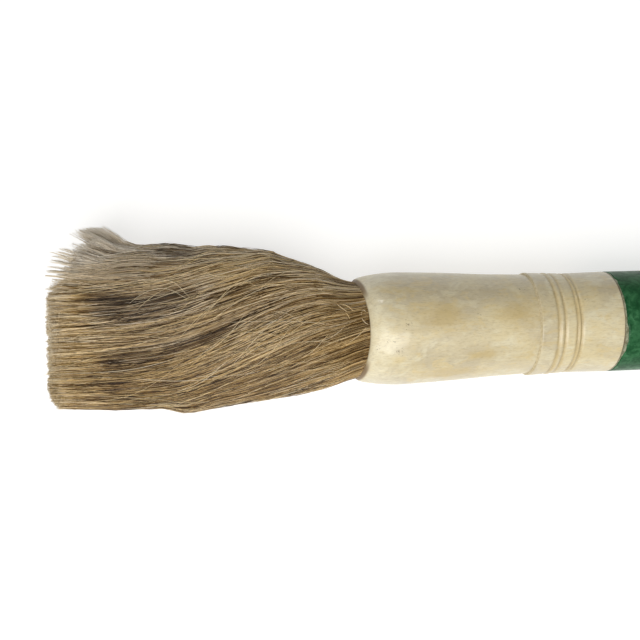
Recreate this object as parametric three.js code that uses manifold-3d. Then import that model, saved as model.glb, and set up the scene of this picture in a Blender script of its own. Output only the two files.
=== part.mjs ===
// A large painting brush lying on a table: a tuft of animal hair set in a turned bone ferrule,
// a ringed bone collar, a green stone shaft, and a flared bone collar and finial at the butt.
// Millimetres, +Z up. The brush lies along X with its hair towards -X, resting on z = 0.

import * as THREE from "three";
import { mergeVertices } from "three/addons/utils/BufferGeometryUtils.js";
import Module from "manifold-3d";

const wasm = await Module();
wasm.setup();

// Lengths along the brush's axis.
const FERRULE_LENGTH = 52.5;
const COLLAR_LENGTH = 25.3;
const SHAFT_LENGTH = 122;
const REAR_COLLAR_LENGTH = 20;
const KNOB_LENGTH = 27;
const VISIBLE_HAIR_LENGTH = 90.1;

// Glue films, and the air left beside each flat face.
const FACE_GAP = 0.1;
const THIN_FILM = 0.2;
const STONE_FILM = 0.45;

// Places along the axis: x = 0 is the front face of the ringed collar.
const FERRULE_BACK = -THIN_FILM - 2 * FACE_GAP;
const MOUTH_X = -FERRULE_LENGTH;
const TIP_X = MOUTH_X - VISIBLE_HAIR_LENGTH;
const COLLAR_BACK = COLLAR_LENGTH;
const SHAFT_FRONT = COLLAR_BACK + STONE_FILM + 2 * FACE_GAP;
const SHAFT_BACK = SHAFT_FRONT + SHAFT_LENGTH;
const REAR_FRONT = SHAFT_BACK + STONE_FILM + 2 * FACE_GAP;
const REAR_BACK = REAR_FRONT + REAR_COLLAR_LENGTH;
const KNOB_FRONT = REAR_BACK + FACE_GAP;
const BUTT_X = KNOB_FRONT + KNOB_LENGTH;

// Radii of the bone and the stone.
const FERRULE_MAX_R = 16.95;
const LIP_R = 15.15;
const MOUTH_BORE_R = 14.1;
const FERRULE_BACK_R = 15.2;
const COLLAR_FRONT_R = 15.75;
const COLLAR_WAIST_R = 15.25;
const SHAFT_R = 15.5;
const REAR_RING_R = 15.7;
const SHOULDER_R = 13.2;
const BALL_R = 12.4;
const BUTT_R = 5.5;
const EDGE = 0.4;

// Grooves turned in the bone, measured from the front of each collar.
const GROOVE_DEPTH = 0.35;
const GROOVE_HALF_WIDTH = 0.4;
const COLLAR_GROOVES = [5.2, 7.2, 11, 12.2];
const REAR_GROOVES = [5, 6.3, 10.2];

// The hole for a hanging cord, across the ball of the knob.
const CORD_HOLE_R = 3.2;
const CORD_HOLE_X = KNOB_FRONT + 17;

// Wooden joints.
const FIT_GAP = 0.3;
const CORE_R = 11.2;
const CORE_FRONT = -14;
const CORE_BORE_R = CORE_R + FIT_GAP;
const TENON_R = 6.7;
const TENON_DEPTH = 26;
const TENON_BORE_R = TENON_R + FIT_GAP;
const PEG_R = 4.8;
const PEG_DEPTH = 21;
const PEG_BORE_R = PEG_R + FIT_GAP;
const KNOB_SOCKET_DEPTH = 8.5;
const DRILL_POINT = 1;

// The tuft: a sleeve of cover hair round a core bundle, bound with thread at the root.
const AXIS_HEIGHT = FERRULE_MAX_R;
const MOUTH_HAIR_R = 13.8;
const BOUND_R = 9.5;
const ROOT_X = -24.2;
const CORE_SHARE = 0.6;
const UNDERSIDE = 5;
const HAIR_GAP = 0.3;
const BINDING_BACK = -26;
const BINDING_TURNS = 5;
const BINDING_R = 11;
const THREAD = 1.2;
const THREAD_VALLEY = 0.35;

// Facets round each solid.
const TURNED_SIDES = 40;
const SLIM_SIDES = 24;
const TUFT_SIDES = 36;

/** A profile point, (radius, x), or a point of an outline curve, (t, y). */
const at = (a, b) => new THREE.Vector2(a, b);

/** A solid turned about the X axis. The profile runs towards +X along its outside. */
function turned(profile, sides = TURNED_SIDES) {
  const geometry = new THREE.LatheGeometry(profile, sides);
  geometry.rotateZ(-Math.PI / 2);
  return geometry;
}

/** A turned ring of rectangular section. */
function ring(inner, outer, from, to) {
  return turned([
    at(inner, from), at(outer, from), at(outer, to), at(inner, to), at(inner, from),
  ]);
}

/** The three points of a V groove in a surface of the given radius. */
function groove(x, radius) {
  return [
    at(radius, x - GROOVE_HALF_WIDTH),
    at(radius - GROOVE_DEPTH, x),
    at(radius, x + GROOVE_HALF_WIDTH),
  ];
}

/** Points of a smooth curve through hand-picked (radius, x) points. */
function smooth(points, count) {
  return new THREE.SplineCurve(points).getPoints(count);
}

const material = (color, roughness, metalness = 0) =>
  new THREE.MeshStandardMaterial({ color, roughness, metalness });

const looks = {
  hair: material(0x93805f, 0.75),
  coreHair: material(0x7d6a48, 0.8),
  bone: material(0xdccfa8, 0.42),
  stone: material(0x2f6440, 0.3),
  glue: material(0xb9b99c, 0.5),
  dirtyGlue: material(0x8a7449, 0.7),
  thread: material(0xb7a98a, 0.9),
  rosin: material(0x6b3f16, 0.35),
  wood: material(0xb58a5a, 0.7),
};

// ---------------------------------------------------------------- tuft

/** A smooth curve y(t) through points with rising t, its slopes taken from the neighbours. */
function through(points) {
  const last = points.length - 1;
  const slope = (k) => {
    const before = points[Math.max(k - 1, 0)];
    const after = points[Math.min(k + 1, last)];
    return (after.y - before.y) / (after.x - before.x);
  };
  return (t) => {
    let k = 0;
    while (k < last - 1 && t > points[k + 1].x) {
      k += 1;
    }
    const span = points[k + 1].x - points[k].x;
    const u = (t - points[k].x) / span;
    const v = 1 - u;
    return (1 + 2 * u) * v * v * points[k].y + u * v * v * span * slope(k)
      + u * u * (3 - 2 * u) * points[k + 1].y - u * u * v * span * slope(k + 1);
  };
}

// Distances of the tuft's skin from the brush's axis, from its mouth (t = 0) to its tip (t = 1).
const leftEdge = through([
  at(0, MOUTH_HAIR_R), at(0.12, 17.8), at(0.32, 24.2), at(0.55, 26), at(0.8, 27),
  at(0.94, 31.6), at(1, 31.8),
]);
const rightEdge = through([
  at(0, -MOUTH_HAIR_R), at(0.12, -17.1), at(0.3, -19.6), at(0.58, -22), at(0.7, -20.6),
  at(1, -19.8),
]);
const crown = through([
  at(0, MOUTH_HAIR_R), at(0.15, 16.6), at(0.45, 19), at(0.8, 18.6), at(1, 16.5),
]);
const belly = through([
  at(0, -MOUTH_HAIR_R), at(0.15, -17.5), at(0.45, -20), at(1, -20.5),
]);

// The cut end is square to the axis, slanting back at the splayed left side.
const LEFT_SLANT = { from: 8, to: 33, back: 11 };
const RIGHT_CORNER = { from: 15, to: 20, back: 2.4 };

// The tuft's layers: a share of the outline, an inset from it, and the lowest that each may reach.
const OUTER = { share: 1, inset: 0, floor: -AXIS_HEIGHT };
const LINING = { share: CORE_SHARE, inset: 0, floor: UNDERSIDE - AXIS_HEIGHT };
const CORE = { share: CORE_SHARE, inset: HAIR_GAP, floor: UNDERSIDE + HAIR_GAP - AXIS_HEIGHT };

/** How far along the axis the cut end is, at a distance y to the side. */
function tipX(y) {
  const slant = THREE.MathUtils.smoothstep(y, LEFT_SLANT.from, LEFT_SLANT.to);
  const corner = THREE.MathUtils.smoothstep(-y, RIGHT_CORNER.from, RIGHT_CORNER.to);
  return TIP_X + LEFT_SLANT.back * slant + RIGHT_CORNER.back * corner;
}

/** A ring of points round one layer of the tuft, drawn in by the factor close. */
function tuftRing(t, layer, close = 1) {
  const left = leftEdge(t);
  const right = rightEdge(t);
  const share = layer.share * close;
  const middle = (left + right) / 2;
  const halfWidth = ((left - right) / 2) * share - layer.inset;
  const above = crown(t) * share - layer.inset;
  const below = -belly(t) * share - layer.inset;
  return anglesRound(TUFT_SIDES).map((angle) => {
    const y = middle + halfWidth * Math.cos(angle);
    const lift = Math.sin(angle) * (Math.sin(angle) > 0 ? above : below);
    const x = MOUTH_X + (tipX(y) - MOUTH_X) * t;
    return new THREE.Vector3(x, y, Math.max(lift, layer.floor));
  });
}

/** Angles evenly round a circle. */
function anglesRound(sides) {
  return Array.from({ length: sides }, (unused, i) => (2 * Math.PI * i) / sides);
}

/** A round ring of hair roots inside the ferrule. */
function rootRing(x, swell, layer) {
  const radius = BOUND_R * swell * layer.share - layer.inset;
  return anglesRound(TUFT_SIDES).map(
    (angle) => new THREE.Vector3(x, radius * Math.cos(angle), radius * Math.sin(angle)),
  );
}

/** Joins rings of equal length into one closed skin: ending on itself, or in flat caps. */
function skin(rings, endsOnItself) {
  const sides = rings[0].length;
  const points = rings.flat();
  const triangles = [];
  const spans = endsOnItself ? rings.length : rings.length - 1;
  for (let r = 0; r < spans; r += 1) {
    const here = r * sides;
    const next = ((r + 1) % rings.length) * sides;
    for (let i = 0; i < sides; i += 1) {
      const j = (i + 1) % sides;
      triangles.push(here + i, next + i, here + j);
      triangles.push(here + j, next + i, next + j);
    }
  }
  if (!endsOnItself) {
    cap(points, triangles, 0, sides, false);
    cap(points, triangles, (rings.length - 1) * sides, sides, true);
  }
  const geometry = new THREE.BufferGeometry().setFromPoints(points);
  geometry.setIndex(triangles);
  geometry.computeVertexNormals();
  return geometry;
}

/** Closes the ring that starts at the given point with a fan round its middle. */
function cap(points, triangles, start, sides, flip) {
  const hub = points.length;
  const middle = new THREE.Vector3();
  for (let i = 0; i < sides; i += 1) {
    middle.addScaledVector(points[start + i], 1 / sides);
  }
  points.push(middle);
  for (let i = 0; i < sides; i += 1) {
    const a = start + i;
    const b = start + ((i + 1) % sides);
    triangles.push(hub, flip ? b : a, flip ? a : b);
  }
}

const OUTER_STATIONS = [0, 0.05, 0.1, 0.16, 0.23, 0.31, 0.4, 0.5, 0.6, 0.7, 0.78, 0.85, 0.91, 0.96];
const INNER_STATIONS = [0, 0.08, 0.2, 0.36, 0.55, 0.75, 0.9];

// Places along the roots, and how far the bundle has swollen there from its bound radius.
const ROOT_STATIONS = [[ROOT_X, 1], [-33, 1], [-39, 1.28], [-45, 1.43]];

/** Outer hairs: a sleeve round the core bundle, open at the root and at the cut tip. */
function coverHair() {
  const outside = [
    ...ROOT_STATIONS.map(([x, swell]) => rootRing(x, swell, OUTER)),
    ...OUTER_STATIONS.map((t) => tuftRing(t, OUTER)),
    tuftRing(0.985, OUTER, 0.97),
    tuftRing(1, OUTER, 0.9),
  ];
  const lining = [
    ...ROOT_STATIONS.map(([x, swell]) => rootRing(x, swell, LINING)),
    ...INNER_STATIONS.map((t) => tuftRing(t, LINING)),
    tuftRing(1, LINING),
  ];
  return skin([...outside, ...lining.reverse()], true);
}

/** The inner bundle, clear of the sleeve all round. */
function coreHair() {
  return skin([
    ...ROOT_STATIONS.map(([x, swell]) => rootRing(x, swell, CORE)),
    ...INNER_STATIONS.map((t) => tuftRing(t, CORE)),
    tuftRing(1, CORE),
  ], false);
}

/** Thread wound round the roots, each turn a rounded ridge. */
function rootBinding() {
  const inner = BOUND_R + HAIR_GAP;
  const profile = [at(inner, BINDING_BACK - BINDING_TURNS * THREAD)];
  for (let turn = BINDING_TURNS; turn > 0; turn -= 1) {
    const from = BINDING_BACK - turn * THREAD;
    profile.push(at(BINDING_R - THREAD_VALLEY, from));
    profile.push(at(BINDING_R, from + THREAD / 2));
  }
  profile.push(at(BINDING_R - THREAD_VALLEY, BINDING_BACK));
  profile.push(at(inner, BINDING_BACK));
  profile.push(profile[0].clone());
  return turned(profile, TUFT_SIDES);
}

/** Resin behind the roots, with a low wall round their cut ends. */
function rosinPlug() {
  const wallR = BOUND_R + HAIR_GAP;
  const floor = ROOT_X + HAIR_GAP;
  const front = BINDING_BACK + HAIR_GAP;
  const back = CORE_FRONT - HAIR_GAP;
  return turned([
    at(0, floor), at(wallR, floor), at(wallR, front), at(CORE_R, front), at(CORE_R, back), at(0, back),
  ], TUFT_SIDES);
}

// ---------------------------------------------------------------- bone and stone

/** The hair cup: rounded lip, widest just behind the mouth, tapering back to the collar. */
function boneFerrule() {
  const outside = smooth([
    at(MOUTH_BORE_R + 0.1, MOUTH_X), at(LIP_R, MOUTH_X + 1.1), at(LIP_R + 0.9, MOUTH_X + 3.9),
    at(16.5, -46), at(FERRULE_MAX_R, -39), at(16.3, -24), at(15.6, -12), at(FERRULE_BACK_R, -1.2),
  ], 20).map((p) => at(Math.min(p.x, FERRULE_MAX_R), p.y));
  return turned([
    ...outside,
    at(FERRULE_BACK_R - EDGE / 2, FERRULE_BACK),
    at(CORE_BORE_R, FERRULE_BACK),
    at(CORE_BORE_R, -27),
    at(13.2, -38),
    at(MOUTH_BORE_R, -46),
    outside[0].clone(),
  ]);
}

/** The ringed sleeve behind the ferrule, its radius falling from the front to the last groove. */
function boneCollar() {
  const lastGroove = COLLAR_GROOVES[COLLAR_GROOVES.length - 1];
  const radiusAt = (x) => COLLAR_FRONT_R + (COLLAR_WAIST_R - COLLAR_FRONT_R) * (x / lastGroove);
  return turned([
    at(CORE_BORE_R, 0),
    at(COLLAR_FRONT_R - EDGE / 2, 0),
    at(COLLAR_FRONT_R, EDGE),
    ...COLLAR_GROOVES.flatMap((x) => groove(x, radiusAt(x))),
    at(SHAFT_R, COLLAR_BACK - EDGE),
    at(SHAFT_R - EDGE / 2, COLLAR_BACK),
    at(CORE_BORE_R, COLLAR_BACK),
    at(CORE_BORE_R, 0),
  ]);
}

/** The stone rod, drilled at the front for the tenon and at the back for the peg. */
function stoneShaft() {
  const tenonEnd = SHAFT_FRONT + TENON_DEPTH;
  const pegEnd = SHAFT_BACK - PEG_DEPTH;
  return turned([
    at(0, tenonEnd + DRILL_POINT),
    at(TENON_BORE_R, tenonEnd),
    at(TENON_BORE_R, SHAFT_FRONT),
    at(SHAFT_R - EDGE, SHAFT_FRONT),
    at(SHAFT_R, SHAFT_FRONT + EDGE),
    at(SHAFT_R, SHAFT_BACK - EDGE),
    at(SHAFT_R - EDGE, SHAFT_BACK),
    at(PEG_BORE_R, SHAFT_BACK),
    at(PEG_BORE_R, pegEnd),
    at(0, pegEnd - DRILL_POINT),
  ]);
}

/** The flared collar at the butt, as wide as the ferrule so that the brush lies level. */
function rearCollar() {
  return turned([
    at(PEG_BORE_R, REAR_FRONT),
    at(REAR_RING_R - EDGE, REAR_FRONT),
    at(REAR_RING_R, REAR_FRONT + EDGE),
    ...REAR_GROOVES.flatMap((x) => groove(REAR_FRONT + x, REAR_RING_R)),
    at(16.3, REAR_BACK - 5.6),
    at(FERRULE_MAX_R, REAR_BACK - 2.6),
    at(FERRULE_MAX_R, REAR_BACK - 1.6),
    at(FERRULE_MAX_R - 0.7, REAR_BACK - 0.4),
    at(FERRULE_MAX_R - 1.7, REAR_BACK),
    at(PEG_BORE_R, REAR_BACK),
    at(PEG_BORE_R, REAR_FRONT),
  ]);
}

/** A turned piece with a hole drilled straight through it along Y. */
function drilledAcross(geometry, x, radius, length) {
  const drill = new THREE.CylinderGeometry(radius, radius, length, SLIM_SIDES);
  drill.translate(x, 0, 0);
  return fromSolid(solid(geometry).subtract(solid(drill)));
}

/** The closed solid of a mesh. */
function solid(geometry) {
  const bare = geometry.clone();
  bare.deleteAttribute("normal");
  bare.deleteAttribute("uv");
  const merged = mergeVertices(bare, 1e-4);
  const mesh = new wasm.Mesh({
    numProp: 3,
    vertProperties: new Float32Array(merged.attributes.position.array),
    triVerts: new Uint32Array(merged.index.array),
  });
  return new wasm.Manifold(mesh);
}

/** The mesh of a solid. */
function fromSolid(manifold) {
  const mesh = manifold.getMesh();
  const geometry = new THREE.BufferGeometry();
  geometry.setAttribute("position", new THREE.Float32BufferAttribute(mesh.vertProperties, 3));
  geometry.setIndex(new THREE.Uint32BufferAttribute(mesh.triVerts, 1));
  geometry.computeVertexNormals();
  return geometry;
}

/** The finial: shoulder, cove and ball, with a socket in front and a cord hole across the ball. */
function endKnob() {
  const socketEnd = KNOB_FRONT + KNOB_SOCKET_DEPTH;
  const outside = smooth([
    at(SHOULDER_R, KNOB_FRONT + 1.4), at(10.2, KNOB_FRONT + 3.6), at(8.7, KNOB_FRONT + 6.4),
    at(9.6, KNOB_FRONT + 9.2), at(11.8, KNOB_FRONT + 13), at(BALL_R, CORD_HOLE_X),
    at(11.2, BUTT_X - 5.5), at(8.4, BUTT_X - 1.8), at(BUTT_R, BUTT_X),
  ], 18);
  const body = turned([
    at(0, socketEnd),
    at(PEG_BORE_R, socketEnd),
    at(PEG_BORE_R, KNOB_FRONT),
    at(SHOULDER_R - EDGE, KNOB_FRONT),
    at(SHOULDER_R, KNOB_FRONT + EDGE),
    ...outside,
    at(0, BUTT_X),
  ]);
  return drilledAcross(body, CORD_HOLE_X, CORD_HOLE_R, 4 * BALL_R);
}

// ---------------------------------------------------------------- glue and wood

/** Adhesive between ferrule and collar. */
function ferruleSeam() {
  return ring(CORE_BORE_R, FERRULE_BACK_R - EDGE / 2, FERRULE_BACK + FACE_GAP, -FACE_GAP);
}

/** Adhesive at the front of the stone. */
function frontGlueSeam() {
  return ring(TENON_BORE_R, SHAFT_R - EDGE / 2, COLLAR_BACK + FACE_GAP, SHAFT_FRONT - FACE_GAP);
}

/** Adhesive at the back of the stone. */
function rearGlueSeam() {
  return ring(PEG_BORE_R, SHAFT_R - EDGE / 2, SHAFT_BACK + FACE_GAP, REAR_FRONT - FACE_GAP);
}

/** The stepped core: wide inside ferrule and collar, narrow in the stone. */
function frontDowel() {
  const tip = SHAFT_FRONT + TENON_DEPTH - FIT_GAP;
  return turned([
    at(0, CORE_FRONT), at(CORE_R, CORE_FRONT), at(CORE_R, COLLAR_BACK), at(TENON_R, COLLAR_BACK),
    at(TENON_R, tip - 1), at(TENON_R - 1, tip), at(0, tip),
  ]);
}

/** The straight peg through stone, rear collar and knob. */
function rearDowel() {
  const from = SHAFT_BACK - PEG_DEPTH + FIT_GAP;
  const to = KNOB_FRONT + KNOB_SOCKET_DEPTH - FIT_GAP;
  return turned([
    at(0, from), at(PEG_R - 1, from), at(PEG_R, from + 1), at(PEG_R, to - 1), at(PEG_R - 1, to),
    at(0, to),
  ], SLIM_SIDES);
}

// ---------------------------------------------------------------- assembly

const pieces = [
  ["cover_hair", coverHair(), looks.hair],
  ["core_hair", coreHair(), looks.coreHair],
  ["root_binding", rootBinding(), looks.thread],
  ["rosin_plug", rosinPlug(), looks.rosin],
  ["bone_ferrule", boneFerrule(), looks.bone],
  ["ferrule_seam", ferruleSeam(), looks.dirtyGlue],
  ["bone_collar", boneCollar(), looks.bone],
  ["front_glue_seam", frontGlueSeam(), looks.glue],
  ["jade_shaft", stoneShaft(), looks.stone],
  ["front_dowel", frontDowel(), looks.wood],
  ["rear_dowel", rearDowel(), looks.wood],
  ["rear_glue_seam", rearGlueSeam(), looks.glue],
  ["rear_collar", rearCollar(), looks.bone],
  ["end_knob", endKnob(), looks.bone],
];

const brush = new THREE.Group();
for (const [name, geometry, look] of pieces) {
  const mesh = new THREE.Mesh(geometry, look);
  mesh.name = name;
  brush.add(mesh);
}

// The origin is under the middle of the whole brush, on the table.
brush.updateMatrixWorld(true);
const box = new THREE.Box3().setFromObject(brush, true);
const middle = box.getCenter(new THREE.Vector3());
brush.position.set(-middle.x, -middle.y, -box.min.z);

export default brush;
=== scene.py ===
"""The looks of a large painting brush: a hair tuft, turned bone, green stone and the glue between."""

import math

import bpy
import numpy as np
from mathutils import Matrix, Vector


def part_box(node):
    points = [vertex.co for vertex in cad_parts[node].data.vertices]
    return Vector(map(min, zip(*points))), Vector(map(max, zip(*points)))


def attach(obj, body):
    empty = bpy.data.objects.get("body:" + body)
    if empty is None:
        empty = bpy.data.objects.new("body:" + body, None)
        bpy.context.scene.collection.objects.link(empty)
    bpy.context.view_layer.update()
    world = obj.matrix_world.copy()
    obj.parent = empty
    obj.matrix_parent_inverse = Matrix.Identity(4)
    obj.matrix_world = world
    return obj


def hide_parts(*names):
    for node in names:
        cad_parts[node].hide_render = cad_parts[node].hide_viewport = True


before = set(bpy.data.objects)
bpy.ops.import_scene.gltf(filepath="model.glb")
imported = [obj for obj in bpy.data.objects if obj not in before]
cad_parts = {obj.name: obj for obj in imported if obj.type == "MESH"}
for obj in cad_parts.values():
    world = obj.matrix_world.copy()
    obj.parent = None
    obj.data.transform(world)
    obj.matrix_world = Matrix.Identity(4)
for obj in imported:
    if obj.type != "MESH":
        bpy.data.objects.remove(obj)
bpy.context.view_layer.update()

# ------------------------------------------------------------------ places
# Shapes are worked out in millimetres in the brush's own axes: x = 0 is the front face of the
# ringed collar, y = z = 0 is the brush's axis, and the hair points to -x.

MM = 0.001
SEED = 20


def middle(low, high):
    return (low + high) / 2


COLLAR_LOW, COLLAR_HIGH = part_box("bone_collar")
FERRULE_LOW, FERRULE_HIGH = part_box("bone_ferrule")
ORIGIN = np.array([
    COLLAR_LOW.x, middle(COLLAR_LOW.y, COLLAR_HIGH.y), middle(FERRULE_LOW.z, FERRULE_HIGH.z),
])


def to_frame(points):
    """Points in the row frame, in metres."""
    return ORIGIN + np.asarray(points, float) * MM


def span(node):
    """Where a node starts and ends along the axis, in millimetres."""
    low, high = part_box(node)
    return (low.x - ORIGIN[0]) / MM, (high.x - ORIGIN[0]) / MM


MOUTH_X, FERRULE_BACK = span("bone_ferrule")
COLLAR_BACK = span("bone_collar")[1]
TIP_X = span("cover_hair")[0]
SHAFT_FRONT, SHAFT_BACK = span("jade_shaft")
REAR_FRONT, REAR_BACK = span("rear_collar")
KNOB_FRONT, BUTT_X = span("end_knob")
TABLE_Z = -ORIGIN[2] / MM
SHAFT_R = (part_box("jade_shaft")[1].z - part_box("jade_shaft")[0].z) / 2 / MM


TURN = 2 * math.pi


def round_turn(count):
    """Even angles round a whole turn."""
    return np.arange(count) * TURN / count


def ease(value, low, high):
    """Rises smoothly from 0 at low to 1 at high."""
    u = np.clip((np.asarray(value, float) - low) / (high - low), 0, 1)
    return u * u * (3 - 2 * u)


def bell(value, centre, width):
    """A bell of height 1 at the centre."""
    return np.exp(-(((value - centre) / width) ** 2))


def through(points):
    """A smooth curve y(t) through points with rising t, its slopes taken from the neighbours."""
    t, y = np.array(points, float).T
    index = np.arange(len(t))
    before = np.maximum(index - 1, 0)
    after = np.minimum(index + 1, len(t) - 1)
    slope = (y[after] - y[before]) / (t[after] - t[before])

    def curve(at):
        at = np.asarray(at, float)
        k = np.clip(np.searchsorted(t, at) - 1, 0, len(t) - 2)
        width = t[k + 1] - t[k]
        u = (at - t[k]) / width
        v = 1 - u
        return (
            (1 + 2 * u) * v * v * y[k] + u * v * v * width * slope[k]
            + u * u * (3 - 2 * u) * y[k + 1] - u * u * v * width * slope[k + 1]
        )

    return curve


# ------------------------------------------------------------------ materials


class Paint:
    """A node material round one Principled shader."""

    def __init__(self, name, roughness=0.5, specular=0.5, coat=0.0, coat_roughness=0.1):
        self.material = bpy.data.materials.new(name)
        self.material.use_nodes = True
        self.nodes = self.material.node_tree.nodes
        self.links = self.material.node_tree.links
        self.shader = self.nodes["Principled BSDF"]
        self.shader.inputs["Roughness"].default_value = roughness
        self.shader.inputs["Specular IOR Level"].default_value = specular
        self.shader.inputs["Coat Weight"].default_value = coat
        self.shader.inputs["Coat Roughness"].default_value = coat_roughness

    def put(self, value, socket):
        if isinstance(value, bpy.types.NodeSocket):
            self.links.new(value, socket)
        else:
            socket.default_value = value

    def place(self, scale=(1, 1, 1)):
        """Position on the object, stretched by a scale along each axis."""
        mapping = self.nodes.new("ShaderNodeMapping")
        mapping.inputs["Scale"].default_value = scale
        where = self.nodes.new("ShaderNodeTexCoord")
        self.links.new(where.outputs["Object"], mapping.inputs["Vector"])
        return mapping.outputs["Vector"]

    def noise(self, size, detail, rough=0.55, stretch=(1, 1, 1), twist=0.0):
        """Noise from 0 to 1, with features of a size in millimetres."""
        node = self.nodes.new("ShaderNodeTexNoise")
        self.links.new(self.place(stretch), node.inputs["Vector"])
        node.inputs["Scale"].default_value = 1 / (size * MM)
        node.inputs["Detail"].default_value = detail
        node.inputs["Roughness"].default_value = rough
        node.inputs["Distortion"].default_value = twist
        return node.outputs["Fac"]

    def cells(self, size):
        """Voronoi cells of a size in millimetres: distance to the nearest centre, and its colour."""
        node = self.nodes.new("ShaderNodeTexVoronoi")
        self.links.new(self.place(), node.inputs["Vector"])
        node.inputs["Scale"].default_value = 1 / (size * MM)
        return node.outputs["Distance"], node.outputs["Color"]

    def attribute(self, name):
        """A number that the mesh holds at each vertex."""
        node = self.nodes.new("ShaderNodeAttribute")
        node.attribute_name = name
        return node.outputs["Fac"]

    def maths(self, operation, a, b):
        node = self.nodes.new("ShaderNodeMath")
        node.operation = operation
        self.put(a, node.inputs[0])
        self.put(b, node.inputs[1])
        return node.outputs[0]

    def add(self, a, b):
        return self.maths("ADD", a, b)

    def times(self, a, b):
        return self.maths("MULTIPLY", a, b)

    def graded(self, value, low, high, to_low=0.0, to_high=1.0):
        """The value from low to high, eased to another range."""
        node = self.nodes.new("ShaderNodeMapRange")
        node.interpolation_type = "SMOOTHSTEP"
        for socket, number in zip(node.inputs, (value, low, high, to_low, to_high)):
            self.put(number, socket)
        return node.outputs["Result"]

    def ramp(self, value, stops):
        """A colour for each value, from (place, colour) stops."""
        node = self.nodes.new("ShaderNodeValToRGB")
        elements = node.color_ramp.elements
        while len(elements) < len(stops):
            elements.new(0.5)
        for element, (place, colour) in zip(elements, stops):
            element.position = place
            element.color = (*colour, 1)
        self.put(value, node.inputs["Fac"])
        return node.outputs["Color"]

    def mix(self, share, a, b):
        """Colour a, with a share of b over it."""
        node = self.nodes.new("ShaderNodeMix")
        node.data_type = "RGBA"
        self.put(share, node.inputs["Factor"])
        for value, socket in ((a, node.inputs[6]), (b, node.inputs[7])):
            self.put(value if isinstance(value, bpy.types.NodeSocket) else (*value, 1), socket)
        return node.outputs[2]

    def wash(self, colour, tint, value, low, high, share=1.0):
        """The colour, with up to a share of a tint over it as the value goes from low to high."""
        return self.mix(self.graded(value, low, high, 0, share), colour, tint)

    def bump(self, height, depth, strength):
        """Relief of a depth in millimetres."""
        node = self.nodes.new("ShaderNodeBump")
        node.inputs["Strength"].default_value = strength
        node.inputs["Distance"].default_value = depth * MM
        self.links.new(height, node.inputs["Height"])
        self.links.new(node.outputs["Normal"], self.shader.inputs["Normal"])

    def finish(self, colour, roughness=None):
        self.put(colour, self.shader.inputs["Base Color"])
        if roughness is not None:
            self.put(roughness, self.shader.inputs["Roughness"])
        return self.material


CREAM = (0.665, 0.575, 0.355)
PALE_BONE = (0.70, 0.645, 0.465)
GREY_BONE = (0.54, 0.47, 0.32)
PALE_AND_LIT = (0.78, 0.72, 0.52)
YELLOWED = (0.66, 0.53, 0.27)
TAN = (0.54, 0.425, 0.21)
DIRT_AND_SHADE_BROWN = (0.17, 0.105, 0.048)
PIT = (0.14, 0.10, 0.06)


def bone_material():
    """Old turned bone: cream with tan blotches and paler patches, grain along its length, pits, dirt in
    its grooves and joints, and the painted shade and painted light that its mesh asks for.
    """
    paint = Paint("turned_bone", coat=0.3, coat_roughness=0.13)
    clouds = paint.noise(16, 4, 0.6, (0.8, 1, 1), 0.4)
    patches = paint.noise(5.5, 5, 0.62, (0.6, 1, 1), 0.6)
    mottle = paint.noise(2.0, 4, 0.6, (0.7, 1, 1), 0.3)
    grain = paint.noise(0.9, 4, 0.65, (0.09, 1, 1))
    fine = paint.noise(0.35, 2, 0.6, (0.25, 1, 1))
    colour = paint.wash(GREY_BONE, CREAM, clouds, 0.38, 0.62)
    colour = paint.wash(colour, PALE_BONE, patches, 0.48, 0.64, 0.8)
    yellow = paint.noise(3.4, 5, 0.66, (0.55, 1, 1), 0.8)
    colour = paint.wash(colour, YELLOWED, yellow, 0.5, 0.66, 0.6)
    stain_and_light = paint.add(paint.attribute("stain_and_light"), paint.graded(patches, 0.3, 0.7, -0.25, 0.25))
    stain_and_light = paint.add(stain_and_light, paint.graded(mottle, 0.3, 0.7, -0.18, 0.18))
    # Paler where the stain runs below zero: random pale patches, and painted light on the ferrule's lip.
    colour = paint.wash(colour, PALE_AND_LIT, stain_and_light, 0.1, -1.0, 0.9)
    colour = paint.wash(colour, TAN, stain_and_light, 0.15, 1.05, 0.85)
    colour = paint.wash(colour, TAN, grain, 0.48, 0.68, 0.24)
    colour = paint.wash(colour, DIRT_AND_SHADE_BROWN, fine, 0.48, 0.72, 0.19)
    # Darker brown: dirt in grooves and joints, and painted shade inside bores and on hidden faces.
    dirt_and_shade_share = paint.add(paint.attribute("dirt_and_shade"), paint.graded(patches, 0.3, 0.7, -0.05, 0.05))
    dirt_and_shade_share = paint.times(paint.graded(dirt_and_shade_share, 0.05, 1.0), 0.9)
    colour = paint.mix(dirt_and_shade_share, colour, DIRT_AND_SHADE_BROWN)
    specks = paint.noise(0.38, 2, 0.5, (0.7, 1, 1))
    chosen = paint.add(specks, paint.times(paint.attribute("pits"), 0.4))
    pit = paint.graded(chosen, 0.74, 0.82)
    colour = paint.mix(paint.times(pit, 0.6), colour, PIT)
    relief = paint.maths("SUBTRACT", paint.times(grain, 0.35), pit)
    relief = paint.add(relief, paint.times(patches, 0.8))
    paint.bump(relief, 0.12, 0.55)
    shine = paint.add(clouds, paint.times(dirt_and_shade_share, 0.5))
    return paint.finish(colour, paint.graded(shine, 0.3, 1.0, 0.36, 0.62))


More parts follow.
